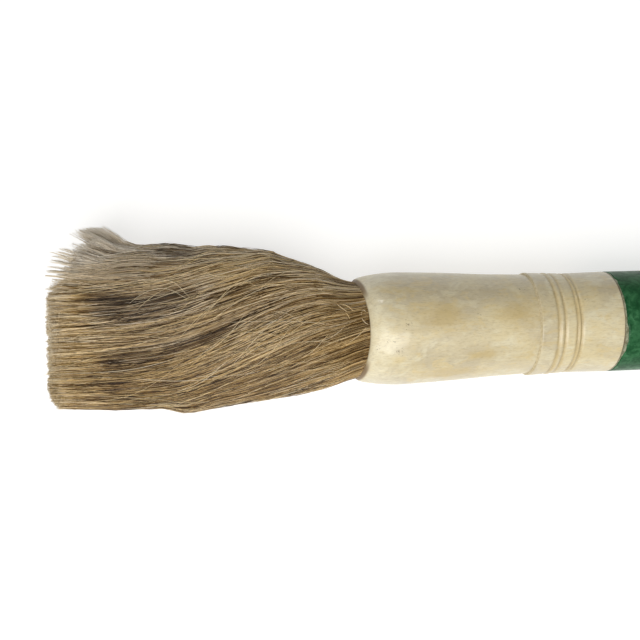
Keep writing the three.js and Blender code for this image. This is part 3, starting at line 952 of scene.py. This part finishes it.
GOLDEN_LOCKS = [
    ([(-128.9, 12.3), (-131, 12)], 3.0, 0.9), ([(-129.1, 7.5), (-132, 7)], 2.2, 0.7),
    ([(-129, 3), (-134, 2.6)], 2.6, 0.9), ([(-129, -4), (-134.5, -4)], 2.6, 0.9),
    ([(-128, -11.7), (-134, -12)], 3.0, 0.8), ([(-97.7, 19.1), (-92, 20)], 3.4, 0.6),
    ([(-112, 20), (-106, 19)], 3.0, 0.5), ([(-118, -16), (-100, -14)], 5.0, 0.4),
]


def near_tracks(tracks, x, y):
    """How strongly places lie on any of the tracks, from 0 to 1."""
    total = np.zeros_like(x)
    for track, width, strength in tracks:
        for (x0, y0), (x1, y1) in zip(track, track[1:]):
            length = (x1 - x0) ** 2 + (y1 - y0) ** 2
            share = np.clip(((x - x0) * (x1 - x0) + (y - y0) * (y1 - y0)) / length, 0, 1)
            away = np.hypot(x - x0 - share * (x1 - x0), y - y0 - share * (y1 - y0))
            total = np.maximum(total, strength * np.exp(-((away / width) ** 2)))
    return total


BASE_TONE = 0.42
BASE_WARMTH = 0.72
BRIGHT_TONE = 0.8


def hair_colours(hairs, t, angle, paths, own_tone, warmer=0.0):
    """The warmth and tone of hairs along their length."""
    x, y, z = np.moveaxis(paths, 2, 0)
    facing = ease(z, -2, 6)
    dark = near_tracks(STREAKS, x, y) * facing
    grey = near_tracks(GREY_LOCKS, x, y) * facing
    gold = near_tracks(GOLDEN_LOCKS, x, y) * facing
    below = np.clip(ripple(angle * 1.7 + 2, t) - 0.75, 0, 1) * (1 - facing)
    picked = (hairs.share() < 0.72) * 1.0
    tone = BASE_TONE + own_tone - 0.5 * np.maximum(dark, below * 0.6) * (0.12 + 0.88 * picked)

    shaded_root = 1 - ease(t, 0, 0.22)
    pale_end = 0.23 * ease(t, 0.78, 0.9) + 0.26 * ease(t, 0.92, 1.0)
    # The splayed corner is paler: partly its own colour, partly painted light.
    splayed_end = ease(y, 15, 26) * ease(t, 0.7, 0.88)
    tone = tone - 0.05 * shaded_root + pale_end + 0.31 * splayed_end
    # The left side short of the tip is paler, partly its own colour and partly painted light; the -y
    # side is darker.
    painted_light_left = ease(y, 11, 19) * (1 - ease(t, 0.7, 0.85))
    tone = tone - 0.06 * gold - 0.09 * ease(-y, 2, 16) + 0.14 * painted_light_left
    # Painted light: both sides by the mouth are painted paler, the -y side the more.
    painted_light_by_mouth = 0.2 * ease(-y, 8, 13) + 0.1 * ease(y, 5, 11)
    tone = tone + painted_light_by_mouth * (1 - ease(t, 0.1, 0.3))

    warmth = BASE_WARMTH + hairs.normal(0.15) - 0.6 * grey + 0.35 * gold
    warmth = warmth + 0.1 * (1 - ease(t, 0, 0.3)) - 0.12 * ease(t, 0.93, 1)
    warmth = warmth + 0.2 * ease(-y, -4, 12)
    warmth = warmth - 0.42 * ease(y, 10, 26) * ease(t, 0.3, 0.7)
    return warmth + warmer, np.minimum(tone, BRIGHT_TONE + 0.5 * (tone - BRIGHT_TONE))


# Layers of locks: how far out each lies, and how many locks it has.
LAYERS = [(1.0, 290), (0.97, 230), (0.94, 170), (0.9, 120)]
CLINGS = 5800
OUTER_HAIRS = 11000
OUTER_POINTS = 27
TOP_HAIRS = 1500
INNER_HAIRS = 6500
STRAY_HAIRS = 220
WISPS, WISP_HAIRS = 9, 260
HAIR_R = 0.082
TOP_HAIR_R = 0.098
STRAY_R = 0.085
CURL_R = 0.1
WISP_R = 0.07
SKIN_LIFT, WISP_LIFT, BODY_LIFT = 0.2, 0.3, 0.75
PALE_HAIR, DARK_HAIR = 0.25, -0.34


def outer_locks(rng, t):
    """Middle lines of small locks that lie over each other, then of the clinging hairs in them."""
    lock_depth = np.concatenate([np.full((n, 1), depth) for depth, n in LAYERS])
    lock_angle = np.concatenate([
        (np.arange(n) + rng.uniform(-0.6, 0.6, n)) * TURN / n for _, n in LAYERS])[:, None]
    width = np.concatenate([np.full((n, 1), math.pi / n) for _, n in LAYERS])
    locks = Draws(rng, len(lock_angle))
    settled = ease(t, 0, 0.25)
    wander = np.radians(1.1) * locks.waves(t, 2, 7) * settled
    lift = 0.004 * locks.waves(t, 3, 9) * settled
    cut = np.abs(locks.normal(0.5))
    ragged = locks.normal(1.5)
    tone = locks.normal(0.03)

    lock = rng.integers(0, len(lock_angle), CLINGS)
    clings = Draws(rng, CLINGS)
    radius = np.sqrt(clings.share())
    heading = clings.between(0, TURN)
    loose = (clings.share() < 0.3) * 1.0
    spread = 1.8 - 0.6 * ease(t, 0.02, 0.35) * (1 - loose)
    root_angle = lock_angle[lock]
    aside = width[lock] * radius * np.cos(heading)
    angle = swirled(t, root_angle) + wander[lock]
    angle = angle + np.radians(1.2) * ripple(root_angle, t) * ease(t, 0, 0.4) + aside * spread
    restless = np.radians(0.75 + 1.3 * loose) * clings.waves(t, 5, 18)
    angle = angle + restless * ease(t, 0.02, 0.15)
    packed = 0.4 + 0.6 * ease(t, 0, 0.3)
    depth = 1 - (1 - lock_depth[lock]) * packed + lift[lock]
    depth = depth + 0.015 * radius * np.sin(heading) * spread + 0.008 * clings.waves(t, 6, 20)
    depth = np.minimum(depth, 1.0 + 0.01 * ease(t, 0.1, 1) * clings.share())
    cling_cut = cut[lock] + np.abs(clings.normal(0.35))
    cling_ragged = ragged[lock] + clings.normal(0.6)
    cling_tone = tone[lock] + alternating(rng, (root_angle + aside)[:, 0], 0.15)[:, None]
    return angle, depth, cling_cut, cling_ragged, cling_tone


def alternating(rng, order_by, spread):
    """Random tones in which neighbours round the tuft tend to differ, so that no broad bands form."""
    noise = rng.normal(0, spread, len(order_by))
    tones = np.empty(len(order_by))
    tones[np.argsort(order_by)] = noise - np.roll(noise, 1)
    return tones


def shortened(arrays, share):
    """Arrays over the hairs' points, drawn in so that each hair ends at its share of its length."""
    count = arrays[0].shape[1]
    place = np.linspace(0, 1, count)[None, :] * share * (count - 1)
    k = np.minimum(place.astype(int), count - 2)
    part = place - k
    row = np.arange(len(place))[:, None]
    made = []
    for values in arrays:
        values = np.broadcast_to(values, (len(place), *values.shape[1:]))
        weight = part[..., None] if values.ndim == 3 else part
        made.append(values[row, k] * (1 - weight) + values[row, k + 1] * weight)
    return made


def spaced(low, high, points):
    """A row of even steps."""
    return np.linspace(low, high, points)[None, :]


def outer_hair(rng, count):
    """The long hairs, which cling together in twos or so."""
    hairs = Draws(rng, count)
    t = spaced(-0.05, 1, OUTER_POINTS)
    cling = rng.integers(0, CLINGS, count)
    angle, depth, cut, ragged, tone = (values[cling] for values in outer_locks(rng, t))
    y, z = across(t, angle, depth)
    free = ease(t, 0.0, 0.2)
    loose = 0.10 + 0.35 * (hairs.share() < 0.12)
    y = y + hairs.normal(0.12) + loose * hairs.waves(t, 8, 30) * free
    z = z + hairs.normal(0.08) + 0.09 * hairs.waves(t, 8, 30) * free
    last_y = y[:, -1:]
    splayed = ease(last_y, 10, 17) + 0.35 * ease(-last_y, 12, 18)
    end = tip_of(y, z) + cut + np.abs(hairs.normal(0.5))
    end = np.maximum(end + np.minimum(ragged, 1.2) * splayed, TIP_X)
    paths = laid(end, t, y, z, HAIR_R + hairs.between(0, 1.2) ** 2)
    short = hairs.share() < 0.12
    share = np.where(short, hairs.between(0.62, 0.99), 1)
    paths, t, angle = shortened([paths, t, angle], share)
    u = spaced(0, 1, OUTER_POINTS)
    taper = 1 - 0.25 * ease(u, 0.3, 0.9) - 0.35 * ease(u, 0.94, 1)
    radii = HAIR_R * hairs.between(0.7, 1.3) * taper * (0.8 + 0.2 * ease(t, 0, 0.25))
    return paths, radii, *hair_colours(hairs, t, angle, paths, tone + hairs.normal(0.15))


def top_hair(rng, count):
    """Single hairs on the tuft's skin, each a little across the flow, pale or dark."""
    hairs = Draws(rng, count)
    number = np.arange(count)[:, None]
    s = spaced(0, 1, 19)
    length = hairs.between(0.2, 1.0)
    from_mouth = hairs.share() < 0.35
    t = np.where(from_mouth, -0.04, (1 - length) * hairs.share() ** 0.7) + length * s
    slant = np.radians(hairs.normal(5))
    root_angle = (number + hairs.share()) * TURN / count
    angle = swirled(t, root_angle) + slant * (s - 0.5) * length * 2
    angle = angle + np.radians(0.9) * hairs.waves(t, 5, 14) * ease(t, 0, 0.15)
    y, z = across(t, angle, 1 + hairs.between(-0.008, 0.008) * ease(t, 0, 0.1))
    paths = laid(tip_of(y, z) + np.abs(hairs.normal(0.7)), t, y, z, SKIN_LIFT)
    radii = TOP_HAIR_R * hairs.between(0.7, 1.2) * (1 - 0.5 * ease(s, 0.85, 1))
    radii = radii * (0.72 + 0.28 * ease(t, 0.05, 0.4))
    own_tone = np.where(number % 5 < 3, PALE_HAIR, DARK_HAIR) + hairs.normal(0.07)
    return paths, radii, *hair_colours(hairs, t, angle, paths, own_tone, -0.1)


def cut_ends(rng, count):
    """The inner hairs where they show, at the cut end."""
    hairs = Draws(rng, count)
    t = spaced(0.72, 1, 5)
    depth = np.sqrt(hairs.share()) * 0.93
    root_angle = hairs.between(0, TURN)
    angle = swirled(t, root_angle) + np.radians(1.8) * ripple(root_angle, t)
    y, z = across(t, angle, depth)
    last_y, last_z = y[:, -1:], z[:, -1:]
    lock = np.sin(last_y * 1.7 + 3 * np.sin(last_z * 0.9))
    lock = lock * np.sin(last_z * 1.9 + 2 * np.sin(last_y))
    end = tip_of(y, z) + 0.8 + 0.7 * lock + np.abs(hairs.normal(0.8))
    splayed = ease(last_y, 9, 16)
    end = end + hairs.normal(0.8) * splayed + 0.8 * splayed
    paths = laid(end, t, y, z, HAIR_R + hairs.between(0, 2))
    radii = HAIR_R * hairs.between(0.9, 1.3) * (1 - 0.35 * ease(t, 0.93, 1))
    own_tone = 0.02 + 0.12 * lock + hairs.normal(0.26)
    return paths, radii, *hair_colours(hairs, t, angle, paths, own_tone, 0.1)


def thinned(s):
    """Thickness along a hair that thins to half at both its ends."""
    return 1 - 0.5 * np.abs(2 * s - 1) ** 3


def stray_hair(rng, count):
    """Single pale hairs that lie across the others."""
    hairs = Draws(rng, count)
    s = spaced(0, 1, 14)
    start = hairs.between(-0.02, 0.62)
    t = np.minimum(start + hairs.between(0.1, 0.42) * s, 1)
    root_angle = hairs.between(0, TURN)
    slant = np.radians(hairs.normal(13))
    bend = np.radians(hairs.normal(5))
    angle = swirled(t, root_angle) + slant * (s - 0.5) + bend * np.sin(math.pi * s)
    lift = 0.012 + 0.014 * hairs.share() * np.sin(math.pi * np.clip(s, 0.02, 1))
    lift = lift - 0.06 * ease(t, 0.75, 0.9) * ease(np.cos(angle), 0.6, 0.9)
    y, z = across(t, angle, 1 + lift * ease(t, 0, 0.1))
    radii = STRAY_R * hairs.between(0.8, 1.15) * thinned(s)
    warmth = 0.92 + hairs.normal(0.12) + 0 * t
    tone = 0.84 + hairs.normal(0.07) + 0 * t
    return laid(tip_x(y), t, y, z, SKIN_LIFT), radii, warmth, tone


# Short curled hairs near the mouth: (x, y) of start, bend and end.
CURLS = [
    ((-59.9, 7.8), (-58.4, 6.4), (-57.0, 5.4)), ((-58.4, 7.6), (-56.4, 7.3), (-55.1, 5.5)),
    ((-57.3, 5.1), (-56.6, 4.4), (-56.3, 3.2)), ((-52.8, 4.2), (-52.4, 6.6), (-51.3, 5.2)),
    ((-52.7, 3.5), (-52.2, 2.2), (-50.9, 1.5)), ((-56.5, -3.2), (-53.6, -1.6), (-51.5, 0.8)),
]


def curls(rng):
    """The curled hairs, laid on the tuft's skin."""
    s = spaced(0, 1, 9)[:, :, None]
    start, bend, end = (np.array(places)[:, None, :] for places in zip(*CURLS))
    x, y = np.moveaxis((1 - s) ** 2 * start + 2 * s * (1 - s) * bend + s * s * end, 2, 0)
    t = np.clip((x - MOUTH_X) / (TIP_X - MOUTH_X), 0, 1)
    half_width = (LEFT_EDGE(t) - RIGHT_EDGE(t)) / 2
    z = CROWN(t) * np.sqrt(1 - (y / half_width) ** 2) + 0.3
    radii = CURL_R * thinned(s[:, :, 0]) * np.ones_like(x)
    tone = 0.82 + rng.normal(0, 0.05, (len(x), 1)) + 0 * x
    return np.stack([x, y, z], axis=-1), radii, 0 * x + 0.9, tone


def wisps(rng, count):
    """Whitish hairs that gather in pointed wisps beyond the splayed corner."""
    hairs = Draws(rng, count)
    t = spaced(0.68, 1, 11)
    wisp = rng.integers(0, WISPS, count)
    target = np.linspace(17.5, 25.5, WISPS)[wisp][:, None]
    reach = rng.uniform(2.5, 5.5, WISPS)[wisp][:, None]
    layer = rng.uniform(0.96, 1.0, WISPS)[wisp][:, None]
    probe = np.linspace(math.pi, 0, 200)
    angle = np.interp(target, across(1.0, probe, 0.98)[0], probe)
    gathered = ease(t, 0.7, 0.99)
    angle = angle + np.radians(hairs.normal(5)) * (1 - gathered)
    y, z = across(t, angle, layer + hairs.normal(0.03) * (1 - 0.8 * gathered))
    end = tip_x(y[:, -1:]) - reach * hairs.between(0.3, 1)
    paths = laid(np.maximum(end, TIP_X + 3), t, y, z, WISP_LIFT)
    radii = WISP_R * hairs.between(0.7, 1.1) * (1 - 0.65 * ease(t, 0.9, 1))
    warmth = 0.3 + hairs.normal(0.1) + 0 * t
    tone = 0.74 + hairs.normal(0.1) + 0.2 * ease(t, 0.85, 1)
    return paths, radii, warmth, tone


BODY_SIDES = 300
BODY_ROWS = 42
# The body's rounded end: places t, and the share of its width that is left there.
BODY_END = [(0.905, 0.93), (0.908, 0.7), (0.91, 0.4), (0.911, 0.1)]


def tuft_body(rng):
    """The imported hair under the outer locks: a streaked body that ends short of the cut."""
    sides = BODY_SIDES
    t = np.concatenate([np.linspace(-0.1, 0.9, BODY_ROWS), [place for place, _ in BODY_END]])[:, None]
    closing = np.concatenate([np.ones(BODY_ROWS), [size for _, size in BODY_END]])[:, None]
    root_angle = round_turn(sides)[None, :]
    angle = swirled(t, root_angle) + np.radians(1.8) * ripple(root_angle, t) * ease(t, 0, 0.4)
    ridge = rng.normal(0, 1, (1, sides))
    ridge = (ridge + np.roll(ridge, 1, axis=1)) / 1.4
    depth = (0.895 + 0.008 * ridge - 0.05 * ease(t, 0.6, 0.93)) * closing
    y, z = across(t, angle, depth)
    points = laid(tip_x(y), t, y, z, BODY_LIFT)
    points[:, :, 0] += 0.5 * ridge * ease(t, 0.9, 0.93)
    points = points.reshape(-1, 3)
    hubs = np.array([[points[:sides, 0].mean(), 0, 0], points[-sides:].mean(axis=0)])
    first_hub, last_hub = len(points), len(points) + 1
    j = np.arange(sides)
    k = (j + 1) % sides
    last = first_hub - sides
    root_cap = np.stack([j, k, np.full(sides, first_hub)], axis=-1)
    tip_cap = np.stack([last + k, last + j, np.full(sides, last_hub)], axis=-1)
    faces = [tube_faces(len(t), sides), root_cap, tip_cap]
    piece = new_mesh("tuft_body", np.concatenate([points, hubs]), faces)
    tone = np.broadcast_to(0.30 + 0.07 * ridge, (len(t), sides)).ravel()
    where = np.stack([np.full(len(points) + 2, 0.7), np.concatenate([tone, [0.2, 0.2]])], axis=-1)
    set_hair_map(piece, where + rng.normal(0, 0.02, where.shape))
    return piece


COVER_PIECES = 9


def tuft():
    """All the hair, in pieces small enough to hand on whole."""
    rng = np.random.default_rng(SEED)
    outer = outer_hair(rng, OUTER_HAIRS)
    order = np.argsort(rng.random(OUTER_HAIRS))
    for number, part in enumerate(np.array_split(order, COVER_PIECES), 1):
        piece = strand_mesh(f"cover_hair_{number}", *(values[part] for values in outer))
        hand_in(piece, HAIR, "cover_hair")
    for name, strands in (
        ("top_hair_1", top_hair(rng, TOP_HAIRS)), ("top_hair_2", top_hair(rng, TOP_HAIRS)),
        ("stray_hair", stray_hair(rng, STRAY_HAIRS)),
        ("mouth_curls", curls(rng)), ("hair_wisps", wisps(rng, WISP_HAIRS)),
    ):
        hand_in(strand_mesh(name, *strands), HAIR, "cover_hair")
    hand_in(strand_mesh("core_hair_ends", *cut_ends(rng, INNER_HAIRS)), HAIR, "core_hair")
    hand_in(tuft_body(rng), HAIR, "core_hair")


tuft()

# ------------------------------------------------------------------ stage


def area_light(name, place, aim, width, height, power, colour):
    """A soft box at a place in millimetres, facing another, its width and height in metres."""
    light = bpy.data.lights.new(name, "AREA")
    light.shape = "RECTANGLE"
    light.size = width
    light.size_y = height
    light.energy = power
    light.color = colour
    lamp = bpy.data.objects.new(name, light)
    lamp.location = to_frame(place)
    back = to_frame(place) - to_frame(aim)
    lamp.rotation_euler = Vector(back).to_track_quat("Z", "Y").to_euler()
    bpy.context.collection.objects.link(lamp)


# A big soft key, and a small light that puts a glint on the ferrule's lip.
LIGHTS = {
    "key": ((-210, -370, 760), (-60, 0, 0), 0.7, 0.7, 9.2, (1.0, 0.985, 0.96)),
    "glint": ((-190, 430, 255), (-48, 8, 14), 0.08, 0.05, 0.19, (1, 1, 1)),
}
AIR = 0.10
AIR_COLOUR = (1.0, 0.99, 0.96, 1)
FLOOR_GLOW = 0.70
FLOOR_REACH = 3000
FLOOR_GAP = 0.02
FLOOR_GREYS = ((0.40, 0.40, 0.40), (0.44, 0.44, 0.44))


def studio():
    """A wide pale floor under soft lights, in pale air."""
    corners = np.array([
        (FLOOR_REACH * x, FLOOR_REACH * y, TABLE_Z - FLOOR_GAP)
        for x, y in ((-1, -1), (1, -1), (1, 1), (-1, 1))])
    floor = new_mesh("floor", corners, [np.array([[0, 1, 2, 3]])])
    paint = Paint("pale_floor", 0.9, 0.1)
    paint.shader.inputs["Emission Color"].default_value = (1, 1, 0.99, 1)
    paint.shader.inputs["Emission Strength"].default_value = FLOOR_GLOW
    floor.data.materials.append(paint.finish(paint.mix(paint.noise(300, 2), *FLOOR_GREYS)))
    for name, light in LIGHTS.items():
        area_light(name, *light)
    world = bpy.data.worlds.new("studio_air")
    world.use_nodes = True
    air = world.node_tree.nodes["Background"]
    air.inputs["Color"].default_value = AIR_COLOUR
    air.inputs["Strength"].default_value = AIR
    bpy.context.scene.world = world
    bpy.context.scene.view_settings.view_transform = "Standard"


# The camera's place from the collar's front on the axis, in millimetres, and its lens.
CAMERA_PLACE = (-93.6, 3.25, 251.9)
CAMERA_TILT = math.radians(-6.93)
CAMERA_ROLL = math.radians(-1.85)
LENS, SENSOR = 47.8, 36


def camera():
    data = bpy.data.cameras.new("camera")
    data.lens = LENS
    data.sensor_width = SENSOR
    data.clip_start = 0.01
    eye = bpy.data.objects.new("camera", data)
    bpy.context.collection.objects.link(eye)
    turn = Matrix.Rotation(CAMERA_TILT, 4, "Y") @ Matrix.Rotation(CAMERA_ROLL, 4, "Z")
    eye.matrix_world = Matrix.Translation(to_frame(CAMERA_PLACE)) @ turn
    bpy.context.scene.camera = eye


studio()
camera()
